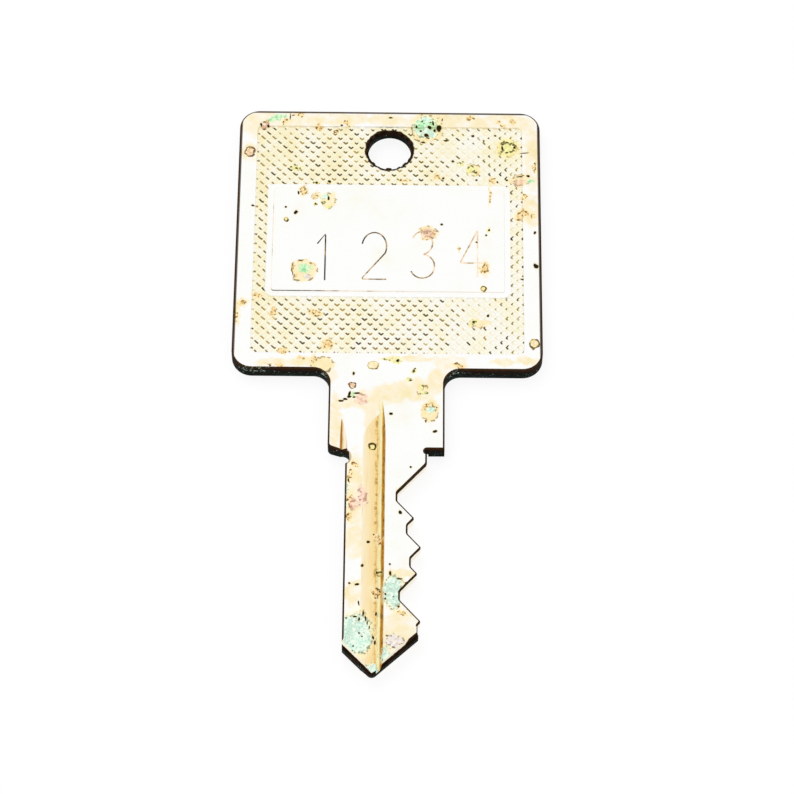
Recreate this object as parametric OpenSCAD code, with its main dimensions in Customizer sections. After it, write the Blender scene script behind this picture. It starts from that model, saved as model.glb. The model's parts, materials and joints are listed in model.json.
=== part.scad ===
// Hotel room key: one flat brass blank with a square coined bow, a neck with two stops,
// and a blade that is milled lengthways and cut for five pins.
// The back lies on Z = 0 and the numbered face looks up. +Y runs from the tip to the bow.
// Y = 0 is the stop that meets the face of the lock, and X = 0 is the centre line of the bow.

/* [Blank] */
// Thickness of the sheet
sheet_t = 1.95; // [1.7:0.05:2.6]

/* [Bow] */
// Width of the bow
bow_w = 34.75; // [32:0.25:42]
// Height of the bow, along the key
bow_h = 34.4; // [32:0.1:42]
// Corner radius of the bow
bow_r = 2.3; // [0.5:0.1:4]
// Plain margin round the coined field
margin = 2.1; // [1.2:0.1:3]
// Depth of the coined field on each face
coin_depth = 0.25; // [0.1:0.01:0.35]
// Corner radius of the coined field
field_r = 0.6; // [0.2:0.1:2]

/* [Number panel] */
// Width of the raised panel
panel_w = 27.8; // [20:0.1:28]
// Height of the raised panel
panel_h = 15.05; // [10:0.05:16]
// How far the panel's middle lies below the middle of the bow
panel_drop = 0.3; // [0:0.1:2]
// Corner radius of the raised panel
panel_r = 0.9; // [0.2:0.1:2]
// Corner radius of the plate that takes the number
plate_r = 0.3; // [0.1:0.05:0.8]
// Width of the lower border round the plate that takes the number
border = 0.7; // [0.4:0.1:2]
// Step from the border up to the plate
plate_step = 0.08; // [0.03:0.01:0.1]

/* [Ring hole] */
// Diameter of the ring hole
hole_d = 4.9; // [3:0.1:6]
// Distance from the hole's centre to the top edge of the bow
hole_drop = 5.2; // [5.2:0.05:5.8]
// Chamfer on both rims of the hole
hole_chamfer = 0.25; // [0.05:0.05:0.3]

/* [Neck] */
// Width of the neck
neck_w = 12.85; // [11.5:0.05:16]
// Length of the neck, from the stop to the bow
neck_len = 10; // [8:0.1:16]
// Fillet where the neck meets the bow
neck_fillet = 1.8; // [0.5:0.1:3]
// How far the worn heel leans back at its outer corner
heel_rise = 0.25; // [0:0.05:0.6]
// How far the worn heel hangs down beside the blade
heel_drop = 0.35; // [0:0.05:0.6]

/* [Blade] */
// Length of the blade, from the stop to the nose
blade_len = 26.9; // [26.5:0.05:34]
// Height of the blade, from the spine to the uncut edge
blade_h = 8.95; // [8.4:0.05:10]
// Distance from the bow's centre line to the spine
spine_off = 4.45; // [4.2:0.05:5]
// Depth of the nick in the spine under the heel
nick_depth = 0.5; // [0.1:0.05:0.6]
// Radius of the nick in the spine
nick_r = 0.9; // [0.7:0.05:1.2]
// Distance from the stop to the middle of the nick
nick_drop = 1.05; // [0.9:0.05:1.6]
// Radius of the relief in the corner under the stop
relief_r = 0.25; // [0.1:0.05:0.4]

/* [Tip] */
// Distance from the bow's centre line to the nose, towards the spine
nose_off = 1.25; // [0:0.05:2.5]
// Radius of the nose
nose_r = 0.6; // [0.3:0.05:1]
// Angle of the ramp on the spine side
spine_ramp = 46; // [35:1:55]
// Angle of the ramp on the pin side
pin_ramp = 43; // [35:1:55]
// Bevel along both ramps, on both faces
ramp_bevel = 0.45; // [0.1:0.05:0.6]

/* [Pin cuts] */
// Distance from the stop to the middle of the first cut
first_cut = 5.87; // [5:0.01:7]
// Distance from one cut to the next
cut_pitch = 3.967; // [3.5:0.001:4.2]
// Depth number of the cut nearest to the stop
cut_1 = 7; // [0:1:8]
// Depth number of the second cut
cut_2 = 4; // [0:1:8]
// Depth number of the third cut
cut_3 = 3; // [0:1:8]
// Depth number of the fourth cut
cut_4 = 6; // [0:1:8]
// Depth number of the cut nearest to the tip
cut_5 = 1; // [0:1:8]
// Height left above the spine at depth number 0
root_zero = 8.41; // [7.8:0.01:8.45]
// Change of height from one depth number to the next
depth_step = 0.38; // [0.2:0.01:0.45]
// Width of a cut across its root, between the flanks
root_flat = 1; // [0.8:0.05:1.4]
// Angle between the flanks of a cut
cut_angle = 96; // [80:1:110]
// Radius in the corners of the root
root_r = 0.4; // [0.1:0.05:0.6]

/* [Milling] */
// Radius of the side cutters, which shows where the grooves run out
cutter_r = 20; // [12:0.5:40]
// Distance from the stop to where the long grooves start to rise
groove_rise = 1; // [0:0.1:3]
// Depth of the front groove
ward_depth = 0.6; // [0.4:0.05:0.7]
// Width of the front groove's floor
ward_floor = 0.35; // [0.2:0.05:0.6]
// Width of the front groove's sloping wall, on the pin side
ward_slope = 0.38; // [0.2:0.02:0.6]
// Distance from the spine to the front groove
ward_off = 3.67; // [3.2:0.01:3.8]
// Width of the shallow flat that leans into the front groove
lean_w = 1.75; // [0.8:0.05:2.2]
// Depth of the shallow flat where it meets the front groove
lean_depth = 0.28; // [0.1:0.02:0.35]
// Depth of the wide step that thins the pin side on the back
back_depth = 0.7; // [0.4:0.05:0.8]
// Distance from the spine to where the back step starts
back_off = 0.85; // [0.5:0.05:1.5]
// Width of the back step's sloping side
back_slope = 1.7; // [0.5:0.1:2.5]
// How far the back step reaches past the uncut edge, under the stop
back_lap = 0.15; // [0.05:0.05:0.4]
// Depth of the short edge groove beside the spine
edge_depth = 0.35; // [0.2:0.05:0.5]
// Width of the short edge groove
edge_w = 0.85; // [0.6:0.05:1]
// Width of the short edge groove's gentle side, towards the blade
edge_slope = 0.68; // [0.3:0.02:0.8]
// How far the short edge groove reaches into the blade
edge_lap = 0.2; // [0.1:0.05:0.4]

/* [Hidden] */
$fn = 96;
// Facets of the wide cutter arcs
cutter_fn = 360;
// Steps in each round corner of a pin cut
root_steps = 6;
// Overlap that makes a cut pass cleanly through a face
eps = 0.5;

cut_codes = [cut_1, cut_2, cut_3, cut_4, cut_5];
spine_x = -spine_off;
edge_x = spine_x + blade_h;
bow_y = neck_len;
bow_top = bow_y + bow_h;
hole_y = bow_top - hole_drop;
bow_mid = bow_y + bow_h / 2;
nose = [-nose_off, -blade_len + nose_r];
// Where each ramp leaves the round nose, and where it meets the side of the blade
spine_foot = nose + nose_r * [-sin(spine_ramp), -cos(spine_ramp)];
pin_foot = nose + nose_r * [sin(pin_ramp), -cos(pin_ramp)];
spine_end = [spine_x, spine_foot[1] + (spine_foot[0] - spine_x) * tan(spine_ramp)];
pin_end = [edge_x, pin_foot[1] + (edge_x - pin_foot[0]) * tan(pin_ramp)];
// Height of material left above the spine by a depth number
function root_x(code) = spine_x + root_zero - code * depth_step;

// A rectangle with true round corners, given by its width, height and middle
module rounded_plate(w, h, r) {
    difference() {
        square([w, h], center = true);
        for (sx = [-1, 1], sy = [-1, 1])
            translate([sx * (w / 2 - r), sy * (h / 2 - r)])
                difference() {
                    translate([sx * (r + eps) / 2, sy * (r + eps) / 2])
                        square(r + eps, center = true);
                    circle(r);
                }
    }
}

// The square bow, in plan
module bow_plan() {
    translate([0, bow_mid])
        rounded_plate(bow_w, bow_h, bow_r);
}

// The neck with its worn heel, and the fillets under the bow, in plan
module neck_plan() {
    polygon([
        [-neck_w / 2, heel_rise],
        [spine_x, -heel_drop],
        [spine_x + eps, -heel_drop],
        [spine_x + eps, 0],
        [neck_w / 2, 0],
        [neck_w / 2, bow_y + eps],
        [-neck_w / 2, bow_y + eps]
    ]);
    for (side = [-1, 1])
        difference() {
            translate([side * (neck_w + neck_fillet) / 2, bow_y - neck_fillet / 2])
                square(neck_fillet, center = true);
            translate([side * (neck_w / 2 + neck_fillet), bow_y - neck_fillet])
                circle(neck_fillet);
        }
}

// The blade before its pins are cut, in plan
module blade_plan() {
    polygon([
        [spine_x, eps], spine_end, spine_foot, nose, pin_foot, pin_end, [edge_x, eps]
    ]);
    translate(nose)
        circle(nose_r);
}

// One pin cut with its root at X = 0 and its flanks opening towards +X, in plan
module pin_cut(reach) {
    lean = cut_angle / 2;
    // Height of the round corner's centre above the middle of the cut
    rise = root_flat / 2 - root_r * tan(45 - lean / 2);
    corner = [for (i = [0:root_steps]) 180 - (90 - lean) * i / root_steps];
    upper = [for (a = corner) [root_r * (1 + cos(a)), rise + root_r * sin(a)]];
    mouth = root_flat / 2 + reach * tan(lean);
    lower = [for (i = [root_steps:-1:0]) [upper[i][0], -upper[i][1]]];
    polygon(concat(upper, [[reach, mouth], [reach, -mouth]], lower));
}

// All the cuts along the pin side, and the small reliefs below the stops, in plan
module cuts_plan() {
    for (i = [0:len(cut_codes) - 1]) {
        root = root_x(cut_codes[i]);
        translate([root, -first_cut - i * cut_pitch])
            pin_cut(edge_x + eps - root);
    }
    translate([edge_x, -relief_r])
        circle(relief_r);
    translate([spine_x - nick_r + nick_depth, -nick_drop])
        circle(nick_r);
}

// The outline of the whole key, in plan
module key_plan() {
    difference() {
        union() {
            bow_plan();
            neck_plan();
            blade_plan();
        }
        cuts_plan();
    }
}

// The sunk field of one face, with its floor at Z = 0 and its mouth open upwards
module coined_field() {
    translate([0, bow_mid, 0])
        linear_extrude(height = coin_depth + eps)
            rounded_plate(bow_w - 2 * margin, bow_h - 2 * margin, field_r);
}

// The raised panel of the front, standing on Z = 0, with its number plate one step higher
module number_panel() {
    translate([0, bow_mid - panel_drop, 0]) {
        linear_extrude(height = coin_depth - plate_step)
            rounded_plate(panel_w, panel_h, panel_r);
        linear_extrude(height = coin_depth)
            rounded_plate(panel_w - 2 * border, panel_h - 2 * border, plate_r);
    }
}

// A groove milled along -Y: the section is drawn as [across, depth] below Z = 0,
// and at the end the cutter leaves the metal on its own radius
module milled_groove(section, depth, end_y) {
    hub = cutter_r - depth;
    mouth = [
        [section[len(section) - 1][0], -eps],
        [section[0][0], -eps]
    ];
    closed = concat(section, mouth);
    translate([0, end_y, 0])
        rotate([90, 0, 0])
            linear_extrude(height = end_y + blade_len + eps)
                polygon([for (p = closed) [p[0], -p[1]]]);
    translate([0, end_y, hub])
        rotate([0, 90, 0])
            rotate_extrude($fn = cutter_fn)
                polygon([for (p = closed) [hub + p[1], p[0]]]);
}

// The long groove of the front and the flat that leans into it
module front_ward() {
    wall = spine_x + ward_off;
    milled_groove([
        [wall - lean_w, 0],
        [wall, lean_depth],
        [wall, ward_depth],
        [wall + ward_floor, ward_depth],
        [wall + ward_floor + ward_slope, 0]
    ], ward_depth, groove_rise);
}

// The short groove beside the spine, which shows on the neck
module edge_groove() {
    right = spine_x + edge_lap;
    milled_groove([
        [right - edge_w, 0],
        [right - min(edge_slope, edge_w), edge_depth],
        [right, 0]
    ], edge_depth, 0);
}

// The wide step of the back, which thins the blade from its sloping side to the cuts
module back_step() {
    left = spine_x + back_off;
    right = edge_x + back_lap;
    milled_groove([
        [left, 0],
        [left + back_slope, back_depth],
        [right, back_depth],
        [right, 0]
    ], back_depth, groove_rise);
}

// A wedge that bevels the upper edge of a ramp, along the ramp's own angle from before its foot
module ramp_wedge(foot, angle, side) {
    run = blade_h / cos(angle);
    lead = 2 * nose_r;
    translate([foot[0], foot[1], 0])
        rotate([0, 0, side > 0 ? angle : 180 - angle])
            translate([-lead, 0, 0])
                rotate([90, 0, 90])
                    linear_extrude(height = run + lead)
                        polygon([
                            [side * (ramp_bevel + eps), eps],
                            [-side * eps, -ramp_bevel - eps],
                            [-side * eps, eps]
                        ]);
}

// The bevels of both ramps on one face, with the face at Z = 0
module tip_bevels() {
    ramp_wedge(spine_foot, spine_ramp, -1);
    ramp_wedge(pin_foot, pin_ramp, 1);
}

// The ring hole with a chamfer on each rim, set in the sunk fields
module ring_hole() {
    floor_z = coin_depth;
    web = sheet_t - 2 * coin_depth;
    flare = hole_chamfer + eps;
    translate([0, hole_y, 0]) {
        translate([0, 0, -eps])
            cylinder(h = sheet_t + 2 * eps, d = hole_d);
        translate([0, 0, floor_z + web - hole_chamfer])
            cylinder(h = flare, r1 = hole_d / 2, r2 = hole_d / 2 + flare);
        translate([0, 0, floor_z + hole_chamfer - flare])
            cylinder(h = flare, r1 = hole_d / 2 + flare, r2 = hole_d / 2);
    }
}

// The whole key, which is one piece of brass
module key() {
    color("#E8CE93")
        difference() {
            linear_extrude(height = sheet_t)
                key_plan();
            difference() {
                translate([0, 0, sheet_t - coin_depth])
                    coined_field();
                translate([0, 0, sheet_t - coin_depth])
                    number_panel();
            }
            translate([0, 0, coin_depth])
                mirror([0, 0, 1])
                    coined_field();
            ring_hole();
            translate([0, 0, sheet_t]) {
                front_ward();
                edge_groove();
                tip_bevels();
            }
            mirror([0, 0, 1]) {
                back_step();
                tip_bevels();
            }
        }
}

key();
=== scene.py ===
import json
import math

import bmesh
import bpy
from mathutils import Matrix, Vector


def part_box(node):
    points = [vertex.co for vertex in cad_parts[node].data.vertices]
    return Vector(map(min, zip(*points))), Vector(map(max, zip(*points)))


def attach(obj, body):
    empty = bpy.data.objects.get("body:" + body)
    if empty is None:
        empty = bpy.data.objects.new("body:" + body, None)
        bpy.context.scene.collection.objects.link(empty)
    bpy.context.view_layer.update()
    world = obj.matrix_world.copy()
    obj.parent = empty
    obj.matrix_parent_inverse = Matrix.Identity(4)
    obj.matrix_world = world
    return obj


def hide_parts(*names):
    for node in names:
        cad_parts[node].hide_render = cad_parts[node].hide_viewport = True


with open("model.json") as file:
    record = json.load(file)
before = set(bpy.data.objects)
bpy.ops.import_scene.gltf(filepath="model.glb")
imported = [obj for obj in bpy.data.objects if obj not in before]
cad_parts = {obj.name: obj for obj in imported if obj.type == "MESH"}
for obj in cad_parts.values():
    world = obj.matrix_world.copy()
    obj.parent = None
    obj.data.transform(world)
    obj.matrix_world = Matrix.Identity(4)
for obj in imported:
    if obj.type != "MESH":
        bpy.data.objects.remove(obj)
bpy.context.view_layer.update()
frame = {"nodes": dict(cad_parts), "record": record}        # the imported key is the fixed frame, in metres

mm = 0.001
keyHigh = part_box("key")[1]
faceZ = keyHigh.z / mm       # the numbered face, in mm above the floor
ringHole = next(m for m in frame["record"]["mounts"] if m["name"] == "ring_hole")
holeX, holeY = (place / mm for place in ringHole["pos_m"][:2])
holeRadius = ringHole["dims"]["r_mm"]


# Small helpers

def say(words):
    print("room key:", words, flush=True)


def linear(code):
    # sRGB hex to the linear colour that the nodes take
    parts = [int(code[i:i + 2], 16) / 255 for i in (1, 3, 5)]
    return tuple(c / 12.92 if c <= 0.04045 else ((c + 0.055) / 1.055) ** 2.4 for c in parts) + (1.0,)


def selectOnly(*objects):
    bpy.ops.object.select_all(action="DESELECT")
    for one in objects:
        one.select_set(True)
    bpy.context.view_layer.objects.active = objects[0]


def applyModifier(piece, kind, **settings):
    selectOnly(piece)
    modifier = piece.modifiers.new(kind.lower(), kind)
    for name, value in settings.items():
        setattr(modifier, name, value)
    bpy.ops.object.modifier_apply(modifier=modifier.name)


def add(tree, kind, *settings):
    # adds a node, with its operation after its kind. A setting is a property or what an input takes: a value, a
    # socket, or a node for its first output. `stops` are those of a ramp, `span` a MapRange's From and To.
    kind, *operation = kind.split()
    node = tree.nodes.new("ShaderNode" + kind)
    if operation:
        node.operation = operation[0]
    for name, value in (item for some in settings for item in some.items()):
        if name == "stops":
            while len(node.color_ramp.elements) < len(value):
                node.color_ramp.elements.new(1.0)
            for stop, (place, colour) in zip(node.color_ramp.elements, value):
                stop.position = place
                stop.color = linear(colour) if isinstance(colour, str) else colour
        elif name == "span":
            for number, end in enumerate(value, 1):
                node.inputs[number].default_value = end
        elif isinstance(value, (bpy.types.Node, bpy.types.NodeSocket)):
            tree.links.new(getattr(value, "outputs", [value])[0], node.inputs[name])
        elif isinstance(name, str) and hasattr(node, name):
            setattr(node, name, value)
        else:
            node.inputs[name].default_value = linear(value) if isinstance(value, str) else value
    return node


# Camera, floor and light

studio = dict(
    target=(1.146, 6.472, 1.95),   # mm, the point in the middle of the picture
    elevation=61.0,                # degrees above the floor
    azimuth=0.0965,
    roll=0.481,
    distance=355.81,               # mm from the target
    lens=145.85,                   # mm
    sensor=36,
    clipStart=0.01,                # m
    floorSize=1.6,                 # m
    floorGap=0.02,                 # mm under the key, so that the two never coincide
    floorLift=0.88,                # share of the floor that shows as the white backdrop
    skyOnMetal=((0.0, 0.72), (0.22, 0.86), (0.46, 0.97), (0.62, 1.0)),   # grey by sine of elevation
    skyOnMatt=0.78,
    lampSize=0.7,                  # m
    lampPlace=(-0.25, 0.45, 0.75),
    lampPower=4.1,                 # W
)


def makeCamera(s):
    up, turn, roll = (math.radians(s[name]) for name in ("elevation", "azimuth", "roll"))
    back = Vector((math.sin(turn) * math.cos(up), -math.cos(turn) * math.cos(up), math.sin(up)))
    right = Vector((math.cos(turn), math.sin(turn), 0))
    above = back.cross(right)
    sideways = right * math.cos(roll) + above * math.sin(roll)
    upwards = -right * math.sin(roll) + above * math.cos(roll)
    place = Vector(s["target"]) * mm + back * s["distance"] * mm
    bpy.ops.object.camera_add()
    camera = bpy.context.object
    camera.name = "photo_camera"
    turned = Matrix((sideways, upwards, back)).transposed()
    camera.matrix_world = Matrix.Translation(place) @ turned.to_4x4()
    camera.data.lens = s["lens"]
    camera.data.sensor_width = s["sensor"]
    camera.data.clip_start = s["clipStart"]
    bpy.context.scene.camera = camera


def makeFloor(s):
    bpy.ops.mesh.primitive_plane_add(size=s["floorSize"], location=(0, 0, -s["floorGap"] * mm))
    floor = bpy.context.object
    floor.name = "pale_floor"
    paper = bpy.data.materials.new("matt_white_paper")
    paper.use_nodes = True
    tree = paper.node_tree
    tree.nodes.clear()
    matt = add(tree, "BsdfDiffuse", {"Color": "#FCFCFC"})
    lit = add(tree, "Emission", {"Color": "#FFFFFF", "Strength": 1.0})
    path = add(tree, "LightPath")
    seen = add(tree, "Math MAXIMUM", {0: path.outputs["Is Camera Ray"], 1: path.outputs["Is Glossy Ray"]})
    share = add(tree, "Math MULTIPLY", {0: seen, 1: s["floorLift"]})
    mixed = add(tree, "MixShader", {0: share, 1: matt, 2: lit})
    add(tree, "OutputMaterial", {"Surface": mixed})
    floor.data.materials.append(paper)


def makeLight(s):
    # a soft tent: a graded one for metal to mirror, an even one for what is matt, and plain white for the camera
    world = bpy.data.worlds.new("soft_tent")
    bpy.context.scene.world = world
    world.use_nodes = True
    tree = world.node_tree
    tree.nodes.clear()
    path = add(tree, "LightPath")
    direction = add(tree, "TexCoord")
    height = add(tree, "SeparateXYZ", {0: direction.outputs["Generated"]})
    greys = [(sine, (grey, grey, grey, 1)) for sine, grey in s["skyOnMetal"]]
    tent = add(tree, "ValToRGB", {"stops": greys, 0: height.outputs["Z"]})
    matt = add(tree, "Background", {"Color": "#FFFFFF", "Strength": s["skyOnMatt"]})
    metal = add(tree, "Background", {"Strength": 1.0, "Color": tent})
    white = add(tree, "Background", {"Color": "#FFFFFF", "Strength": 1.0})
    seen = add(tree, "Math MAXIMUM", {0: path.outputs["Is Camera Ray"], 1: path.outputs["Is Transmission Ray"]})
    onObject = add(tree, "MixShader", {0: path.outputs["Is Glossy Ray"], 1: matt, 2: metal})
    sky = add(tree, "MixShader", {0: seen, 1: onObject, 2: white})
    add(tree, "OutputWorld", {"Surface": sky})

    bpy.ops.object.light_add(type="AREA", location=s["lampPlace"])
    lamp = bpy.context.object
    lamp.name = "softbox"
    lamp.data.shape = "SQUARE"
    lamp.data.size = s["lampSize"]
    lamp.data.energy = s["lampPower"]
    lamp.rotation_euler = (-Vector(s["lampPlace"])).to_track_quat("-Z", "Y").to_euler()
    lamp.visible_glossy = False


makeCamera(studio)
makeFloor(studio)
makeLight(studio)
bpy.context.scene.view_settings.view_transform = "Standard"
say("camera, floor and light are up")


# The blank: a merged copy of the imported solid, with its edges worn round

blank = dict(
    merge=0.002,                     # mm between points that are one
    flatTurn=0.3,                    # degrees between faces that are one flat face
    wallTilt=0.05,                   # the most that a wall's normal rises
    flatTilt=0.999,                  # the least that a flat face's normal does
    field=(15.275, 12.1, 42.3),      # the coined field: half width, bottom and top, mm
    fieldFloor=1.70,
    panel=(13.9, 19.375, 34.425),    # the raised panel
    plate=(13.2, 20.075, 33.725),    # the number plate on it
    rimWear=(0.2, 3),                # rounding of the outline in mm, and its steps
    coinWear=(0.16, 2),              # of the edges of the coined field and its panel
    plateWear=(0.05, 1),
    peakWear=(0.16, 1),              # flat worn on the peaks between the pin cuts
    peakTurn=20,                     # degrees by which the outline turns there at least
    heelWear=(0.4, 4),               # where the blade meets the neck's left side
    heelTurn=30,
    bladeTop=-1.0,                   # Y below which the blade carries its cuts, mm
    cutSide=0.5,                     # X right of which it does
    heelSide=-5.5,                   # X left of which the heel lies
    heelReach=0.4,                   # how far it may be from Y 0
    slack=0.01,                      # for heights that are compared, mm
)


def within(x, y, area, reach=0.0):
    # whether a place in mm lies over the field, panel or plate, or no further than `reach` outside it
    half, bottom, top = blank[area]
    return abs(x) < half + reach and bottom - reach < y < top + reach


def isWall(face):
    return abs(face.normal.z) < blank["wallTilt"]


def isFlat(face):
    return abs(face.normal.z) > blank["flatTilt"]


def middle(edge):
    return (edge.verts[0].co + edge.verts[1].co) / (2 * mm)


def overWall(one, other):
    return isFlat(one) and isWall(other) or isFlat(other) and isWall(one)


def upright(edge, one, other, turn):
    # an outward corner between two walls
    return isWall(one) and isWall(other) and edge.is_convex and edge.calc_face_angle() > math.radians(turn)


def onOutline(edge, one, other):
    # an edge between a face of the sheet and its sheared wall, which reaches past the middle of the sheet
    point = middle(edge)
    heights = {round(v.co.z / mm, 3) for v in edge.verts}
    atFace = heights == {round(faceZ, 3)} or heights == {0.0}
    if not (overWall(one, other) and atFace) or within(point.x, point.y, "field", 0.05):
        return False
    wall = one if isWall(one) else other
    reach = [v.co.z / mm for v in wall.verts]
    return min(reach) < faceZ / 2 < max(reach)


def onPlateEdge(edge, one, other):
    point = middle(edge)
    upper = edge.is_convex and point.z > faceZ - blank["slack"]
    return overWall(one, other) and upper and within(point.x, point.y, "plate", 0.1)


def onCoinedEdge(edge, one, other):
    # the upper edges of the field and the raised panel
    point = middle(edge)
    raised = point.z > blank["fieldFloor"] + 0.05 or point.z < blank["slack"]
    return overWall(one, other) and edge.is_convex and raised \
        and within(point.x, point.y, "field", 0.05) and not onPlateEdge(edge, one, other)


def onPeak(edge, one, other):
    # an upright corner of the outline where two cuts meet
    point = middle(edge)
    return upright(edge, one, other, blank["peakTurn"]) \
        and point.y < blank["bladeTop"] and point.x > blank["cutSide"]


def onHeel(edge, one, other):
    point = middle(edge)
    return upright(edge, one, other, blank["heelTurn"]) \
        and abs(point.y) < blank["heelReach"] and point.x < blank["heelSide"]


def selectEdges(piece, wanted):
    bpy.ops.mesh.select_mode(type="EDGE")
    bpy.ops.mesh.select_all(action="DESELECT")
    mesh = bmesh.from_edit_mesh(piece.data)
    mesh.normal_update()
    picked = [e for e in mesh.edges if len(e.link_faces) == 2 and wanted(e, *e.link_faces)]
    for edge in picked:
        edge.select_set(True)
    bmesh.update_edit_mesh(piece.data)
    say(f"{wanted.__name__} picks {len(picked)} edges")


def makeBlank(b):
    piece = bpy.data.objects.new("brass_key", frame["nodes"]["key"].data.copy())
    bpy.context.scene.collection.objects.link(piece)
    piece.data.materials.clear()
    selectOnly(piece)
    bpy.ops.mesh.customdata_custom_splitnormals_clear()
    bpy.ops.object.mode_set(mode="EDIT")
    bpy.ops.mesh.select_all(action="SELECT")
    bpy.ops.mesh.remove_doubles(threshold=b["merge"] * mm)
    bpy.ops.mesh.dissolve_limited(angle_limit=math.radians(b["flatTurn"]))
    for wanted, wear in (
        (onHeel, "heelWear"), (onPeak, "peakWear"), (onOutline, "rimWear"),
        (onCoinedEdge, "coinWear"), (onPlateEdge, "plateWear"),
    ):
        width, steps = b[wear]
        selectEdges(piece, wanted)
        bpy.ops.mesh.bevel(offset=width * mm, segments=steps, profile=0.5, clamp_overlap=False)
    bpy.ops.object.mode_set(mode="OBJECT")
    return piece


key = makeBlank(blank)
say("the blank is worn round")


# The knurl: one worn diamond pip, copied in staggered rows and joined to the field

knurl = dict(
    pitch=1.25,             # mm from pip to pip along a row
    rowStep=0.6215,         # mm from row to row, each half a pitch aside
    firstRow=42.25,         # Y of the top row, mm
    phase=0.555,            # X of the pips in that row
    across=0.86,            # from corner to corner at the foot, mm
    topAcross=0.52,
    cornerWear=0.12,
    rise=0.09,              # above the sunk field, under the panel's border
    foot=0.02,              # how far the slopes go on below the field
    root=0.3,               # how deep a pip reaches into the metal
    holeGap=0.03,           # by which the reamer cleans the bore
    holeSides=96,
)


def onPipCorner(edge, one, other):
    # the four slanting corners of a pip, not its rims
    first, second = edge.verts
    return abs(first.co.z - second.co.z) > (knurl["rise"] + knurl["foot"]) / 2 * mm


def makePip(k):
    depth = k["rise"] + k["foot"]
    bpy.ops.mesh.primitive_cone_add(
        vertices=4, radius1=k["across"] / 2 * mm, radius2=k["topAcross"] / 2 * mm,
        depth=depth * mm, location=(0, 0, (depth / 2 - k["foot"]) * mm))
    pip = bpy.context.object
    bpy.ops.object.transform_apply(location=True, rotation=True, scale=True)
    bpy.ops.object.mode_set(mode="EDIT")
    selectEdges(pip, onPipCorner)
    bpy.ops.mesh.bevel(offset=k["cornerWear"] * mm, segments=1, clamp_overlap=True)
    bpy.ops.mesh.select_mode(type="FACE")
    bpy.ops.mesh.select_all(action="DESELECT")
    mesh = bmesh.from_edit_mesh(pip.data)
    for face in mesh.faces:
        face.select_set(face.normal.z < -0.9)
    bmesh.update_edit_mesh(pip.data)
    bpy.ops.mesh.extrude_region_move(TRANSFORM_OT_translate={"value": (0, 0, -k["root"] * mm)})
    bpy.ops.object.mode_set(mode="OBJECT")
    return pip


def knurlPlaces(k, front):
    # the middles of the pips: in front the panel keeps its own ground, behind the hole has a plain rim
    row = 0
    y = k["firstRow"]
    half = k["across"] / 2
    fieldHalf, fieldBottom = blank["field"][:2]
    while y > fieldBottom - half / 2:
        x = k["phase"] + (row % 2) * k["pitch"] / 2
        x -= math.floor((x + fieldHalf) / k["pitch"]) * k["pitch"]
        while x < fieldHalf + half / 2:
            atRim = math.hypot(x - holeX, y - holeY) < holeRadius + k["across"]
            if not (within(x, y, "panel", -half / 4) if front else atRim):
                yield x, y
            x += k["pitch"]
        row += 1
        y -= k["rowStep"]


def joinCopies(pip, places, z, turned):
    copies = []
    for x, y in places:
        copy = bpy.data.objects.new("pip", pip.data.copy())
        flip = Matrix.Rotation(math.pi, 4, "X") if turned else Matrix.Identity(4)
        copy.data.transform(Matrix.Translation((x * mm, y * mm, z * mm)) @ flip)
        bpy.context.scene.collection.objects.link(copy)
        copies.append(copy)
    selectOnly(*copies)
    bpy.ops.object.join()
    return bpy.context.object


def carve(piece, tool, operation):
    applyModifier(piece, "BOOLEAN", object=tool, operation=operation, solver="MANIFOLD")
    bpy.data.objects.remove(tool)


def knurlField(piece, k):
    pip = makePip(k)
    for front, z in ((True, blank["fieldFloor"]), (False, faceZ - blank["fieldFloor"])):
        carve(piece, joinCopies(pip, knurlPlaces(k, front), z, not front), "UNION")
    bpy.data.objects.remove(pip)
    bpy.ops.mesh.primitive_cylinder_add(
        vertices=k["holeSides"], radius=(holeRadius + k["holeGap"]) * mm, depth=4 * faceZ * mm,
        location=ringHole["pos_m"])
    reamer = bpy.context.object
    carve(piece, reamer, "DIFFERENCE")


knurlField(key, knurl)
say(f"the knurl is coined, {len(key.data.polygons)} faces")


# The number: plain digits 1 to 4, struck into the plate with a round-nosed punch

number = dict(
    height=6.2,             # mm
    width=2.8,
    middles=(-7.3, -1.6, 3.9, 9.5),
    baseLine=21.45,         # Y of the foot of the first digit
    climb=0.035,            # mm that the line rises for each mm to the right
    noseRadius=0.09,        # of the punch
    noseSteps=3,
    sink=0.07,              # how deep it goes
)


def arc(x, y, rx, ry, start, end, steps=14):
    turns = [math.radians(start + (end - start) * i / steps) for i in range(steps + 1)]
    return [(x + rx * math.cos(t), y + ry * math.sin(t)) for t in turns]


def digitStrokes():
    # each digit as strokes in a box 1 wide and 1 high, its foot at 0
    one = [[(-0.28, 0.78), (0.03, 0.985), (0.05, 0.96), (0.05, 0.0)]]
    two = [arc(0, 0.7, 0.5, 0.3, 170, -28) + [(-0.47, 0.03), (-0.45, 0.0), (0.5, 0.0)]]
    three = [arc(-0.02, 0.755, 0.42, 0.245, 155, -80), arc(-0.02, 0.255, 0.5, 0.255, 85, -155)]
    four = [[(0.22, 0.0), (0.22, 1.0)], [(0.2, 0.98), (-0.47, 0.32), (-0.45, 0.3), (0.5, 0.3)]]
    return (one, two, three, four)


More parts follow.
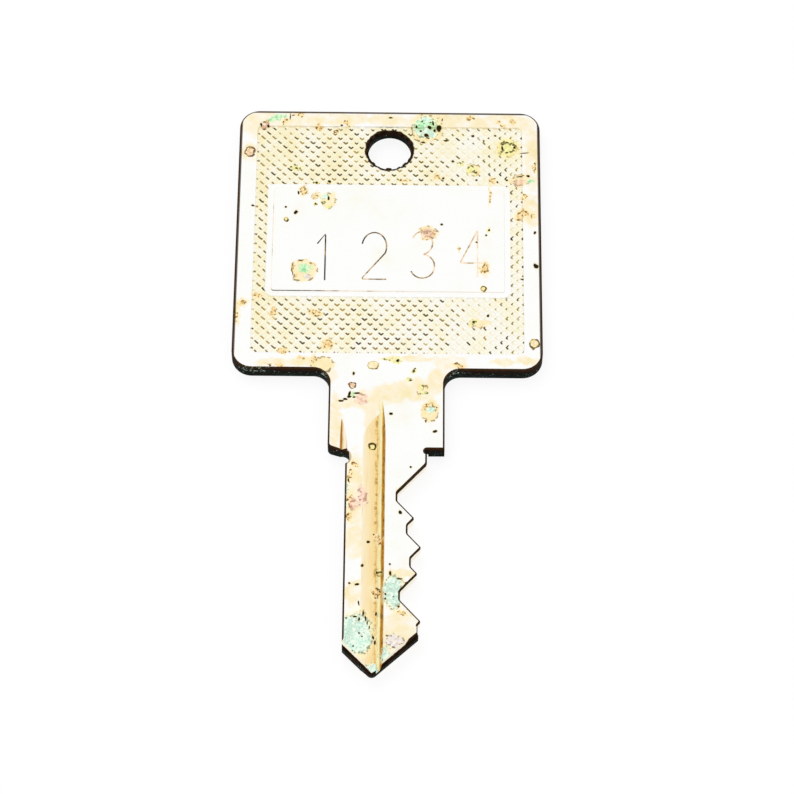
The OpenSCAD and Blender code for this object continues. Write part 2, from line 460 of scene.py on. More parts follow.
def makePunch(stroke, middleX, foot, n):
    # a round bar along the stroke, closed at its ends
    curve = bpy.data.curves.new("stroke", "CURVE")
    curve.dimensions = "3D"
    curve.bevel_depth = n["noseRadius"] * mm
    curve.bevel_resolution = n["noseSteps"]
    curve.use_fill_caps = True
    line = curve.splines.new("POLY")
    line.points.add(len(stroke) - 1)
    for point, (u, v) in zip(line.points, stroke):
        x = middleX + u * n["width"]
        y = foot + v * n["height"]
        point.co = (x * mm, y * mm, (faceZ + n["noseRadius"] - n["sink"]) * mm, 1)
    punch = bpy.data.objects.new("punch", curve)
    bpy.context.scene.collection.objects.link(punch)
    selectOnly(punch)
    bpy.ops.object.convert(target="MESH")
    bpy.ops.object.mode_set(mode="EDIT")
    bpy.ops.mesh.select_all(action="SELECT")
    bpy.ops.mesh.remove_doubles(threshold=blank["merge"] * mm)
    bpy.ops.mesh.normals_make_consistent(inside=False)
    bpy.ops.object.mode_set(mode="OBJECT")
    return bpy.context.object


def strikeNumber(piece, n):
    for strokes, middleX in zip(digitStrokes(), n["middles"]):
        foot = n["baseLine"] + n["climb"] * (middleX - n["middles"][0])
        for stroke in strokes:
            carve(piece, makePunch(stroke, middleX, foot, n), "DIFFERENCE")


strikeNumber(key, number)
say(f"the number is struck, {len(key.data.polygons)} faces")


# The finishes: one patina over five kinds of brass. Patterns are laid out in mm of the key.

# Middle X and Y, half width and half height in mm of each patch on the numbered face
corrosion = dict(
    stains=[
        (-14.6, 42.7, 2.6, 2.0), (-10.9, 42.9, 2.6, 1.3), (-13.0, 41.0, 2.8, 1.1), (7.0, 43.0, 5.8, 1.4),
        (13.2, 42.8, 3.8, 1.6), (16.5, 38.4, 1.0, 4.6), (16.3, 31.0, 1.3, 2.2), (-16.2, 38.7, 1.0, 1.3),
        (-17.0, 16.9, 0.5, 1.5), (-16.4, 18.5, 0.6, 0.5), (-12.8, 10.7, 1.8, 0.5), (-9.0, 10.9, 2.2, 0.7),
        (-6.6, 9.6, 1.0, 1.6), (2.6, 11.3, 3.4, 0.4), (7.2, 10.8, 1.9, 0.9), (13.0, 11.0, 1.5, 0.5),
        (15.6, 11.2, 1.3, 0.6), (-5.6, 3.4, 0.7, 4.0), (-4.2, 5.6, 1.6, 0.7), (-2.0, 6.0, 1.9, 1.4),
        (0.6, 6.9, 2.6, 1.4), (3.2, 7.4, 2.6, 1.5), (5.5, 8.6, 1.2, 1.6), (5.0, 4.9, 0.9, 1.9),
        (-3.4, -5.2, 1.3, 5.0), (-3.3, -11.4, 1.2, 2.4), (-6.0, 43.3, 4.6, 0.9), (-0.5, 43.3, 3.0, 0.8),
        (-3.4, -17.5, 1.0, 1.7), (1.8, -15.2, 1.9, 0.6), (-0.4, -23.6, 4.8, 3.4), (2.0, -20.8, 2.0, 1.5),
        (1.9, -5.4, 0.9, 0.8), (-3.2, -16.4, 0.9, 0.5),
    ],
    smears=[
        (-2.0, 3.5, 0.5, 1.5), (-1.5, 4.5, 0.5, 1.3), (-1.1, 5.4, 0.45, 1.0),
    ],
    halos=[
        (-9.5, 22.7, 1.55, 1.5), (-6.9, 32.3, 0.95, 1.1), (4.6, 27.9, 1.0, 1.0), (4.3, 42.2, 1.9, 2.0),
        (15.0, 35.1, 1.2, 0.9), (-8.3, 32.8, 0.5, 0.6), (-9.7, 33.4, 0.5, 0.6), (4.9, 4.6, 1.0, 1.3),
        (9.7, 36.6, 0.9, 0.8), (10.2, 16.2, 1.3, 0.6), (-7.2, 10.5, 1.3, 1.1), (3.9, 7.4, 0.7, 0.7),
        (13.7, 39.7, 1.3, 1.3),
    ],
    ochre=[
        (-9.9, 33.4, 0.4, 0.5), (10.9, 23.2, 0.42, 0.8), (14.9, 30.4, 0.5, 0.55), (15.5, 30.8, 0.45, 0.4),
        (16.5, 30.2, 0.35, 0.4), (15.5, 32.9, 0.32, 0.4), (-12.9, 17.4, 0.34, 0.6), (-8.1, 17.3, 0.65, 0.5),
        (-14.8, 19.5, 0.42, 0.4), (-16.4, 18.4, 0.5, 0.4), (-17.2, 16.7, 0.3, 0.6), (5.5, 35.6, 0.5, 0.3),
        (11.5, 32.9, 0.16, 1.1), (11.9, 35.1, 0.35, 0.4), (16.8, 37.1, 0.2, 0.8), (12.6, 43.1, 0.4, 0.3),
        (13.1, 42.6, 0.35, 0.3), (14.3, 43.2, 0.4, 0.4), (-8.2, 42.3, 0.35, 0.45), (1.7, 35.0, 0.7, 0.25),
        (-10.4, 43.8, 0.4, 0.3), (-12.1, 43.0, 0.3, 0.4), (-6.6, 13.2, 0.6, 0.6), (-11.7, 12.3, 0.5, 0.4),
        (2.4, -5.7, 0.35, 0.35), (-1.0, -17.3, 0.5, 0.8), (8.0, 25.9, 0.16, 0.3), (9.3, 43.6, 0.4, 0.4),
        (-0.7, -10.9, 0.3, 0.6), (-8.3, 32.8, 0.3, 0.35), (7.9, 10.5, 0.6, 0.35), (1.9, -19.9, 0.35, 0.25),
        (9.4, 36.9, 0.34, 0.26), (10.1, 36.3, 0.3, 0.24), (-5.0, 42.7, 0.36, 0.3), (-6.2, 41.7, 0.26, 0.3),
        (-10.8, 23.2, 0.16, 0.5), (-10.4, 22.0, 0.16, 0.45), (-9.9, 24.0, 0.42, 0.16), (-8.6, 23.7, 0.3, 0.16),
        (-13.4, 10.5, 0.5, 0.14), (-12.0, 10.4, 0.4, 0.14), (-8.2, 11.4, 0.2, 0.4), (-9.6, 11.3, 0.4, 0.14),
        (3.9, 28.2, 0.35, 0.22), (5.2, 27.6, 0.22, 0.35), (4.3, 27.1, 0.35, 0.18), (4.9, 5.1, 0.75, 0.62),
        (-3.9, -3.4, 0.35, 0.7), (-3.8, -6.6, 0.4, 0.9), (-3.9, -8.4, 0.3, 0.6), (-3.3, -2.0, 0.3, 0.3),
        (-2.0, -20.2, 0.14, 0.8), (-1.45, -21.6, 0.14, 0.7), (-1.0, -23.2, 0.2, 0.45), (4.3, 3.4, 0.24, 0.2),
    ],
    rose=[
        (14.9, 35.0, 0.75, 0.45), (-2.7, 6.2, 0.7, 0.65), (-2.5, -5.9, 0.6, 1.3), (-3.5, -6.9, 0.5, 0.9),
        (4.5, 27.8, 0.8, 0.7), (-14.4, 42.4, 0.5, 0.45), (-3.9, 7.9, 0.3, 0.3),
    ],
    olive=[
        (13.7, 39.7, 0.95, 1.05), (9.7, 16.3, 0.42, 0.34), (-10.7, 36.7, 0.6, 0.25), (8.2, 37.5, 0.28, 0.22),
        (1.2, 11.1, 0.35, 0.4), (0.0, 11.2, 0.6, 0.2), (3.9, 7.7, 0.16, 0.4), (-8.4, 31.7, 0.26, 0.26),
        (-7.5, 31.8, 0.18, 0.2), (-6.9, 31.3, 0.18, 0.2), (11.5, 28.3, 0.24, 0.26), (-8.4, 34.6, 0.3, 0.2),
        (3.0, 9.8, 0.3, 0.26), (9.5, 36.6, 0.55, 0.45), (4.1, 6.9, 0.36, 0.14), (2.6, 8.6, 0.24, 0.2),
    ],
    ash=[
        (1.1, -23.1, 0.95, 0.75), (-9.2, 21.9, 0.4, 0.24),
    ],
    verdigris=[
        (4.2, 42.3, 1.3, 1.4), (-7.3, 32.7, 0.42, 0.5), (4.9, 4.9, 0.42, 0.36), (1.0, -17.4, 1.1, 1.9),
        (-2.8, -22.3, 1.55, 2.4), (0.2, -24.7, 0.5, 0.9), (-1.3, -26.3, 0.9, 0.5), (-4.5, -5.9, 0.25, 1.8),
        (-3.9, -22.4, 0.6, 2.2),
    ],
    malachite=[
        (-13.7, 43.0, 0.36, 0.3), (-13.2, 43.4, 0.46, 0.36), (-12.6, 43.8, 0.46, 0.22),
        (-9.4, 22.9, 0.62, 0.58), (16.2, 35.1, 0.34, 0.26), (-3.8, 6.8, 0.3, 0.26), (3.6, 42.5, 0.6, 0.7),
        (4.9, 42.6, 0.5, 0.5),
    ],
    rings=[
        (-16.1, 38.7, 0.64, 0.72), (-3.8, 7.9, 0.42, 0.42),
    ],
    crusts=[
        (16.4, 13.4, 0.6, 0.66), (-1.5, 10.5, 0.72, 0.62),
    ],
    beads=[
        (-11.65, 29.5, 0.3, 0.3), (10.8, 20.5, 0.36, 0.38), (-0.6, -15.0, 0.4, 0.28), (-1.5, 0.3, 0.48, 0.44),
        (-14.1, 42.9, 0.2, 0.18),
    ],
    pits=[
        (-10.6, 30.5, 0.24, 0.26), (-11.7, 31.2, 0.14, 0.13), (6.1, 29.0, 0.14, 0.14), (11.1, 27.6, 0.13, 0.14),
        (10.0, 26.7, 0.12, 0.13), (16.7, 28.0, 0.16, 0.19), (16.7, 23.6, 0.22, 0.34), (15.1, 21.9, 0.18, 0.14),
        (-3.7, 9.4, 0.14, 0.2), (-4.6, 6.2, 0.32, 0.16), (5.4, 2.2, 0.24, 0.16), (4.3, 3.4, 0.1, 0.2),
        (0.5, 4.4, 0.18, 0.2), (2.8, -2.3, 0.13, 0.14), (1.6, -7.8, 0.22, 0.24), (-1.8, -11.4, 0.22, 0.18),
        (-2.4, -14.3, 0.16, 0.24), (0.6, -14.1, 0.14, 0.16), (-3.8, -16.4, 0.18, 0.16),
        (-2.9, -16.5, 0.26, 0.14), (-1.2, -10.5, 0.1, 0.12), (0.1, 43.6, 0.24, 0.1), (9.6, 41.3, 0.2, 0.14),
        (12.2, 41.3, 0.14, 0.12), (10.9, 40.6, 0.12, 0.12), (11.4, 41.0, 0.12, 0.12), (-5.6, 42.4, 0.16, 0.14),
        (0.6, -15.2, 0.16, 0.3), (-2.7, -18.8, 0.1, 0.3), (-2.2, -19.9, 0.1, 0.4), (-4.0, -4.0, 0.1, 0.26),
        (6.2, 35.4, 0.16, 0.16), (12.5, 35.0, 0.14, 0.12), (13.6, 35.2, 0.13, 0.12), (10.0, 35.2, 0.13, 0.12),
        (16.0, 35.7, 0.2, 0.14), (15.1, 35.7, 0.5, 0.1), (5.7, 42.2, 0.3, 0.36), (4.3, 41.3, 0.28, 0.28),
        (-11.6, 43.6, 0.07, 0.45), (-6.9, 32.4, 0.14, 0.3), (-6.9, 34.8, 0.14, 0.16), (-9.6, 33.7, 0.14, 0.1),
        (-10.4, 33.1, 0.1, 0.26), (-15.6, 31.3, 0.2, 0.12), (15.6, 38.9, 0.5, 0.07), (11.3, 17.1, 0.16, 0.16),
        (-13.0, 10.3, 0.14, 0.12), (2.4, -16.3, 0.3, 0.12), (-3.1, -20.3, 0.22, 0.1), (-2.6, -20.6, 0.12, 0.2),
        (13.0, 39.6, 0.14, 0.26), (13.5, 39.0, 0.2, 0.1), (14.0, 39.2, 0.18, 0.12), (-1.95, -20.5, 0.09, 0.3),
        (-1.75, -21.0, 0.08, 0.24), (-1.55, -21.5, 0.09, 0.2), (-1.15, -22.7, 0.12, 0.22),
        (-0.95, -23.3, 0.14, 0.3), (14.4, 39.7, 0.14, 0.2), (14.3, 40.1, 0.13, 0.14), (13.6, 40.4, 0.22, 0.12),
        (13.1, 40.1, 0.12, 0.14), (3.0, 9.8, 0.16, 0.14), (2.6, 8.6, 0.14, 0.1), (-8.4, 31.7, 0.14, 0.14),
        (11.5, 28.3, 0.14, 0.15), (9.7, 16.3, 0.2, 0.16), (-10.7, 36.7, 0.22, 0.1), (-8.4, 34.6, 0.16, 0.1),
        (1.2, 11.1, 0.16, 0.18), (9.9, 36.2, 0.16, 0.08), (-0.9, -19.8, 0.1, 0.24), (0.1, -17.6, 0.11, 0.15),
        (0.1, -18.2, 0.1, 0.13), (1.6, -19.1, 0.14, 0.14), (3.7, 43.1, 0.09, 0.1), (4.7, 42.9, 0.1, 0.09),
        (5.0, 42.8, 0.12, 0.3), (5.2, 42.0, 0.16, 0.26), (4.6, 42.3, 0.2, 0.16), (6.1, 43.3, 0.08, 0.26),
        (3.6, 41.8, 0.16, 0.14), (3.1, 42.3, 0.1, 0.16), (3.9, 40.3, 0.34, 0.12), (6.5, 40.6, 0.28, 0.14),
        (4.4, 40.9, 0.2, 0.1), (-10.9, 22.6, 0.07, 0.5), (-10.3, 21.5, 0.4, 0.07), (-9.9, 24.1, 0.36, 0.07),
        (-5.1, 6.0, 0.3, 0.12), (7.3, 37.8, 0.22, 0.13), (-14.9, 42.5, 0.1, 0.2), (-14.5, 42.8, 0.22, 0.09),
        (-14.1, 42.3, 0.1, 0.16), (-14.6, 42.0, 0.18, 0.08), (-3.3, 6.9, 0.36, 0.14), (-4.1, 6.9, 0.14, 0.34),
        (-4.1, 6.5, 0.22, 0.16), (-3.6, 6.4, 0.2, 0.12), (1.6, -15.8, 0.3, 0.08), (-11.2, 43.8, 0.2, 0.07),
    ],
)

# What each kind of patch lays down, in this order. It starts and is full at these distances from the middle,
# where 1 is the patch's rim, reaches the share `most`, and takes its colour from a mottle. A finish is roughness,
# metallic and height. A rim is a broken line at a distance from the middle, as wide as its own mottle says.
layers = (
    dict(of="stains", start=1.2, full=0.7, most=0.92, mottle="broad", finish=(0.42, 0.85, 0.0),
         colours=((0.36, "#FEF7EA"), (0.47, "#FCF0D2"), (0.56, "#FAECC0"), (0.68, "#F7E4A8"))),
    dict(of="smears", start=1.25, full=0.6, most=0.9, mottle="broad", finish=(0.42, 0.9, 0.0),
         colours=((0.36, "#FEF3DA"), (0.6, "#FDECC6"))),
    dict(of="halos", start=1.15, full=0.8, most=0.85, mottle="broad", finish=(0.5, 0.7, 0.05),
         colours=((0.36, "#FCEFC6"), (0.62, "#F8E4AA")),
         rim=dict(at=0.9, wide=0.14, narrow=-0.12, mottle="blots", most=0.8, dark="#6A4A1C", pale="#A88648")),
    dict(of="ochre", start=1.9, full=0.9, most=0.75, mottle="broad", finish=(0.5, 0.7, 0.05),
         colours=((0.4, "#FDF1C8"), (0.6, "#FBE6AE"))),
    dict(of="ochre", start=1.08, full=0.8, most=0.9, mottle="fine", finish=(0.6, 0.4, -0.1),
         colours=((0.38, "#D8A860"), (0.5, "#F5D698"), (0.62, "#FDEBBE")),
         rim=dict(at=0.72, wide=0.4, narrow=-0.25, mottle="fine", most=0.9, dark="#4A3208", pale="#A07836")),
    dict(of="rose", start=1.3, full=0.6, most=0.75, mottle="fine", finish=(0.7, 0.3, 0.2),
         colours=((0.36, "#E4A48C"), (0.46, "#F3C9B2"), (0.6, "#FADFCB")),
         rim=dict(at=0.7, wide=0.4, narrow=-0.6, mottle="blots", most=0.6, dark="#7A4A38", pale="#C09078"),
         crack="#8E6450", crumb="#6A4A38"),
    dict(of="ash", start=1.1, full=0.85, most=0.85, mottle="fine", finish=(0.85, 0.0, 0.4),
         colours=((0.36, "#CFC2BA"), (0.5, "#E8DED8"), (0.64, "#F4EEEA")),
         rim=dict(at=0.95, wide=0.26, narrow=-0.2, mottle="fine", most=0.8, dark="#4A3426", pale="#94806E")),
    dict(of="olive", start=1.7, full=0.95, most=0.75, mottle="broad", finish=(0.6, 0.5, 0.1),
         colours=((0.4, "#FCF4BE"), (0.6, "#FAECA0"))),
    dict(of="olive", start=1.08, full=0.9, most=0.9, mottle="fine", finish=(0.8, 0.1, 0.2),
         colours=((0.4, "#DDE08C"), (0.48, "#ECEAA0"), (0.62, "#F4F2C0")),
         rim=dict(at=0.76, wide=0.4, narrow=-0.3, mottle="blots", most=0.9, dark="#1E1A02", pale="#4E4A14")),
    dict(of="verdigris", start=1.4, full=1.0, most=0.8, mottle="broad", finish=(0.7, 0.3, 0.1),
         colours=((0.36, "#F3F6C8"), (0.6, "#FBEABC"))),
    dict(of="verdigris", start=1.12, full=0.84, most=0.95, mottle="fine", finish=(0.85, 0.0, 0.6),
         colours=((0.36, "#B0DCC8"), (0.45, "#D2EEDD"), (0.54, "#E4F6E8"), (0.66, "#F0FAE4")),
         rim=dict(at=1.0, wide=0.16, narrow=-0.14, mottle="fine", most=0.65, dark="#4E5234", pale="#A0A078"),
         crack="#5A8478", crumb="#1A2A1C"),
    dict(of="malachite", start=1.35, full=0.65, most=0.95, mottle="fine", finish=(0.8, 0.0, 0.6),
         colours=((0.38, "#74C890"), (0.46, "#A6E0AC"), (0.55, "#CCF0C0"), (0.66, "#E6F8D0"))),
    dict(of="rings", start=1.1, full=0.85, most=0.85, mottle="fine", finish=(0.6, 0.5, 0.1),
         colours=((0.38, "#DCA880"), (0.5, "#F2D2A8"), (0.62, "#FBEACA")),
         rim=dict(at=0.84, wide=0.28, narrow=0.1, mottle="fine", most=0.95, dark="#462C10", pale="#84602E")),
    dict(of="crusts", start=1.1, full=0.85, most=0.85, mottle="fine", finish=(0.6, 0.5, 0.1),
         colours=((0.38, "#E6C87C"), (0.5, "#F6E2A8"), (0.62, "#FCF1CC")),
         rim=dict(at=0.84, wide=0.36, narrow=0.04, mottle="broad", most=0.95, dark="#3A3008", pale="#8A7028")),
    dict(of="beads", start=1.3, full=1.0, most=0.85, mottle="broad", finish=(0.6, 0.5, 0.1),
         colours=((0.4, "#F8EBA4"), (0.6, "#F2DC8C")),
         rim=dict(at=0.76, wide=0.42, narrow=0.06, mottle="broad", most=1.0, dark="#2A1E08", pale="#6A5024")),
    dict(of="pits", start=2.0, full=1.0, most=0.4, mottle="broad", finish=(0.6, 0.6, 0.0),
         colours=((0.4, "#F3DFA0"), (0.6, "#F3DFA0"))),
    dict(of="pits", start=1.15, full=0.8, most=1.0, mottle="broad", finish=(0.8, 0.0, -1.0),
         colours=((0.4, "#1C1604"), (0.6, "#3A2A0E"))),
)
evenKinds = ("smears", "rings", "crusts", "beads", "pits")   # their outlines stray little, the others' raggedly

# Noise over the key. Scale is how many grains there are to the mm, so a grain is 1 / Scale mm across.
grains = dict(
    stray=dict(Scale=1.15, Roughness=0.62),                 # 0.9 mm, bends the outlines of the patches
    broad=dict(Scale=0.6, Detail=6.0, Roughness=0.65),      # 1.7 mm, clouds of tarnish
    fine=dict(Scale=3.0, Detail=4.0, Roughness=0.66),       # 0.33 mm, grains of corrosion
    blots=dict(Scale=1.7, Detail=1.0),                      # 0.6 mm, gaps in the dried rims
    grit=dict(Scale=7.0, Detail=3.0, Roughness=0.6),        # 0.14 mm, rubbing marks, coarse enough to show
    sheet=dict(Scale=0.2, Detail=6.0, Roughness=0.6),       # 5 mm, where the polish is duller
    ground=dict(Scale=0.4, Detail=6.0, Roughness=0.65),     # 2.5 mm, the same between the pips
    chance=dict(Scale=2.9, Detail=0.0),                     # 0.34 mm, so that each pip throws its own dice
    cutter=dict(Scale=1.0, Detail=4.0, Roughness=0.6),      # drawn out by the cutter's own stretch
    sway=dict(Scale=0.6, Detail=5.0, Roughness=0.65),       # 1.7 mm, bends the tarnish in the groove
    flecks=dict(Scale=1.1, Detail=5.0, Roughness=0.7),      # 0.9 mm, dirt in its corners
    shear=dict(Scale=0.8, Detail=6.0, Roughness=0.7),       # 1.3 mm, oxide and painted shade on the sheared wall
    crystal=dict(Scale=3.6, Detail=4.0, Roughness=0.72),    # 0.28 mm, crystals on it
    rubbed=dict(Scale=0.8, Detail=3.0, Roughness=0.6),      # 1.3 mm, gaps in the dirt of the digits
)


def layOut(tree):
    # the place of a point in mm, and the same with X and Y strayed, raggedly or evenly, and Z high on the back,
    # out of reach of the patches
    direct = add(tree, "TexCoord")
    scaled = add(tree, "VectorMath SCALE", {"Scale": 1 / mm, 0: direct.outputs["Object"]})
    place = add(tree, "SeparateXYZ", {0: scaled})
    behind = add(tree, "MapRange", {"span": (1.2, 1.1, 0.0, 40.0), 0: place.outputs["Z"]})
    at = dict(mm=scaled, x=place.outputs["X"], y=place.outputs["Y"], z=place.outputs["Z"])
    for name, stray, detail in (("ragged", 1.5, 5.0), ("even", 0.4, 1.0)):
        wander = add(tree, "TexNoise", dict(grains["stray"], Detail=detail), {0: scaled})
        drift = add(tree, "VectorMath MULTIPLY_ADD", {
            0: wander.outputs["Color"], 1: (stray, stray, 0), 2: (-stray / 2, -stray / 2, 0)})
        moved = add(tree, "VectorMath ADD", {0: scaled, 1: drift})
        parts = add(tree, "SeparateXYZ", {0: moved})
        at[name] = add(tree, "CombineXYZ", {0: parts.outputs["X"], 1: parts.outputs["Y"], 2: behind})
    return at


def nearest(tree, point, patches):
    # how far the nearest patch is, in its own half sizes: 1 at its rim
    least = None
    for x, y, halfWide, halfHigh in patches:
        shifted = add(tree, "VectorMath MULTIPLY_ADD", {
            0: point, 1: (1 / halfWide, 1 / halfHigh, 1), 2: (-x / halfWide, -y / halfHigh, 0)})
        away = add(tree, "VectorMath LENGTH", {0: shifted}).outputs["Value"]
        if least is not None:
            away = add(tree, "Math MINIMUM", {0: least, 1: away})
        least = away
    return least


def offFrom(tree, value, level):
    # how far a value lies from a level, on either side
    over = add(tree, "Math SUBTRACT", {0: value, 1: level})
    return add(tree, "Math ABSOLUTE", {0: over})


def bareLook(tree, colour, finish):
    even = add(tree, "CombineXYZ", dict(enumerate(finish)))
    return dict(colour=colour, finish=even)


def coat(tree, look, share, colour, finish):
    # lays one more finish over the look; finish is its roughness, metallic and height
    tinted = add(tree, "Mix", {"data_type": "RGBA", 0: share, 6: look["colour"], 7: colour})
    changed = add(tree, "Mix", {"data_type": "VECTOR", 0: share, 4: look["finish"], 5: finish})
    return dict(colour=tinted.outputs[2], finish=changed.outputs[1])


def backSpots(tree, at, look, fine):
    # a few loose patches, on the back alone
    spread = add(tree, "TexVoronoi", {"Scale": 0.16, "Randomness": 1.0, 0: at["mm"]})    # one in 6 mm or so
    back = add(tree, "Math LESS_THAN", {0: at["z"], 1: 1.15})
    loose = add(tree, "Math MULTIPLY_ADD", {0: fine, 1: 0.35, 2: 0.05})
    close = add(tree, "Math LESS_THAN", {0: spread, 1: loose})
    onBack = add(tree, "Math MULTIPLY", {0: close, 1: back})
    mixed = add(tree, "ValToRGB", {
        "stops": ((0.3, "#D9C48C"), (0.42, "#C9E2C4"), (0.6, "#F2D9A4")), 0: spread.outputs["Color"]})
    return coat(tree, look, onBack, mixed, (0.7, 0.3, 0.4))


def driedRim(tree, look, rim, distance, mottles):
    mottle = mottles[rim["mottle"]]
    beside = offFrom(tree, distance, rim["at"])
    uneven = add(tree, "MapRange", {"span": (0.4, 0.58, rim["wide"], rim["narrow"]), 0: mottle})
    width = add(tree, "Math MAXIMUM", {0: uneven, 1: 0.0})
    inner = add(tree, "Math MULTIPLY_ADD", {0: width, 1: 0.6, 2: -0.02})
    drawn = add(tree, "MapRange", {"To Max": rim["most"], 0: beside, 1: width, 2: inner})
    dried = add(tree, "ValToRGB", {"stops": ((0.4, rim["dark"]), (0.58, rim["pale"])), 0: mottles["fine"]})
    return coat(tree, look, drawn, dried, (0.75, 0.1, -0.2))


def patina(tree, at, look, zone, kept=tuple(corrosion)):
    # tarnish, corrosion and pits of the numbered face within a zone (left, low, right, high), and a few behind
    mottles = {name: add(tree, "TexNoise", grains[name], {0: at["mm"]}) for name in ("broad", "fine", "blots")}
    left, low, right, high = zone
    near = {}
    for kind in kept:
        # a patch strays no further than 1.6 times its half size
        inside = [(x, y, wide, tall) for x, y, wide, tall in corrosion[kind]
                  if left < x + 1.6 * wide and x - 1.6 * wide < right
                  and low < y + 1.6 * tall and y - 1.6 * tall < high]
        if inside:
            near[kind] = nearest(tree, at["even" if kind in evenKinds else "ragged"], inside)
    if "stains" in near:
        uneven = add(tree, "Math MULTIPLY_ADD", {0: mottles["broad"], 1: 1.5, 2: -0.75})
        near["stains"] = add(tree, "Math ADD", {0: near["stains"], 1: uneven})
    look = backSpots(tree, at, look, mottles["fine"])

    # hair-thin cracks run where the fine mottle crosses its mean; crumbs are some cells of a Voronoi pattern
    beside = offFrom(tree, mottles["fine"], 0.5)
    line = add(tree, "MapRange", {"span": (0.03, 0.01, 0.0, 0.7), 0: beside})
    somewhere = add(tree, "MapRange", {"span": (0.48, 0.54), 0: mottles["broad"]})
    crack = add(tree, "Math MULTIPLY", {0: line, 1: somewhere})
    cells = add(tree, "TexVoronoi", {"Scale": 1.9, "Randomness": 1.0, 0: at["mm"]})    # 0.5 mm each
    small = add(tree, "MapRange", {"span": (0.26, 0.16), 0: cells})
    chosen = add(tree, "Math GREATER_THAN", {0: cells.outputs["Color"], 1: 0.72})
    crumb = add(tree, "Math MULTIPLY", {0: small, 1: chosen})

    for layer in layers:
        kind = layer["of"]
        if kind not in near:
            continue
        span = (layer["start"], layer["full"], 0.0, layer["most"])
        share = add(tree, "MapRange", {"interpolation_type": "SMOOTHSTEP", "span": span, 0: near[kind]})
        colours = add(tree, "ValToRGB", {"stops": layer["colours"], 0: mottles[layer["mottle"]]})
        look = coat(tree, look, share, colours, layer["finish"])
        for name, marks in (("crack", crack), ("crumb", crumb)):
            if name in layer:
                marked = add(tree, "Math MULTIPLY", {0: marks, 1: share})
                look = coat(tree, look, marked, layer[name], (0.9, 0.0, 0.2))
        if "rim" in layer:
            look = driedRim(tree, look, layer["rim"], near[kind], mottles)
    return look


def newBrass(name):
    brass = bpy.data.materials.new(name)
    brass.use_nodes = True
    tree = brass.node_tree
    tree.nodes.clear()
    return brass, tree, layOut(tree)


def finishBrass(tree, at, look, relief):
    # the shader: metal with fine rubbing marks, and the height of its coats as a bump in mm
    parts = add(tree, "SeparateXYZ", {0: look["finish"]})
    grit = add(tree, "TexNoise", grains["grit"], {0: at["mm"]})
    rubbed = add(tree, "Math MULTIPLY_ADD", {0: grit, 1: 0.16, 2: -0.08})
    rough = add(tree, "Math ADD", {"use_clamp": True, 0: parts.outputs["X"], 1: rubbed})
    height = add(tree, "Math MULTIPLY_ADD", {0: grit, 1: 0.12, 2: parts.outputs["Z"]})
    bump = add(tree, "Bump", {"Strength": 0.5, "Distance": relief * mm, "Height": height})
    shader = add(tree, "BsdfPrincipled", {
        "Specular IOR Level": 0.05, "Base Color": look["colour"], "Roughness": rough,
        "Metallic": parts.outputs["Y"], "Normal": bump})
    add(tree, "OutputMaterial", {"Surface": shader})


worn = dict(
    # nearly white: the brass's yellow under a painted highlight of hard light
    bareAndGlare=((0.45, "#FFFFFE"), (0.6, "#FEFEFA"), (0.74, "#FEFBEE")),
    finish=(0.3, 1.0, 0.0),
    zone=(-18, -28, 18, 45),          # whose patches it carries: left, low, right and high end, mm
    relief=0.05,                      # mm
    edgeDirtAndShade="#3C260E",
    edgeReach=(0.16, 0.1),            # mm before the rounding where that dark line of dirt and painted shade starts and is full
)


def wornBrass(w):
    # cartridge brass sheet, rolled and polished by use: painted nearly white, a painted highlight of hard light
    # over its yellow, and cream where tarnish starts
    brass, tree, at = newBrass("worn_brass")
    cloud = add(tree, "TexNoise", grains["sheet"], {0: at["mm"]})
    bareAndGlare = add(tree, "ValToRGB", {"stops": w["bareAndGlare"], 0: cloud})
    look = patina(tree, at, bareLook(tree, bareAndGlare, w["finish"]), w["zone"])
    # the far edge and the sides of the bow keep a dark line inside their rounding: dirt, and painted shade that
    # widens the dark wall
    outward = add(tree, "Math ABSOLUTE", {0: at["x"]})
    start, full = w["edgeReach"]
    for place, end in ((at["y"], keyHigh.y), (outward, keyHigh.x)):
        rounding = end / mm - blank["rimWear"][0]
        dirtAndShade = add(tree, "MapRange", {"span": (rounding - start, rounding - full, 0.0, 0.9), 0: place})
        look = coat(tree, look, dirtAndShade, w["edgeDirtAndShade"], (0.6, 0.3, 0.0))
    finishBrass(tree, at, look, w["relief"])
    return brass


coined = dict(
    # nearly white to cream: the ground's colour under a painted highlight of hard light
    bareAndGlare=((0.36, "#FFFFF6"), (0.5, "#FFFCE4"), (0.67, "#FDF5CC")),
    finish=(0.36, 1.0, 0.0),
    zone=(-15.5, 12.0, 15.5, 42.4),
    kept=[kind for kind in corrosion if kind != "stains"],   # the ground is as dark as a stain, and its arcs show
    relief=0.04,
    shadeAcross=(-16.0, 16.0, 0.06, -0.08),   # darker to the left, by X in mm
    shadeUp=(12.0, 42.0, -0.07, 0.03),        # and to the top, by Y
    turnSpan=(-15.5, 15.5),
    turns=((0.0, 222), (0.28, 262), (0.62, 262), (1.0, 160)),   # degrees round a pip where the dark arc of dirt and painted shade lies, turning by X
    arcAt=0.33,                               # mm from the pip's middle
    glow="#F2DE9E", glowWide=(0.24, 0.04), glowAlong=(0.0, 0.9, 0.0, 0.42),
    rosy="#F2DAB4", rosyWide=(0.1, 0.05, 0.0, 0.28),
    arcLength=(0.32, 0.68, 0.35, 0.85),       # from the dice: how well a point has to face the side of dirt and painted shade
    arcWidth=(0.3, 0.7, 0.13, 0.09),          # mm, so that long arcs are thin ones
    arcCore=0.06,
    rare=(-15.0, 15.0, 0.1, 0.2),             # what the dice have to beat for a dark arc, by X
    faint=(0.0, 0.18, 0.3),
    # colours of the dark arcs: old dirt, and painted shade on the pips' lower slopes
    dirt=((0.36, "#A88E40"), (0.45, "#82692A"), (0.54, "#5A4710"), (0.64, "#302202")),
    holeDark="#2E2210", holeReach=0.45,       # mm round the bore
)


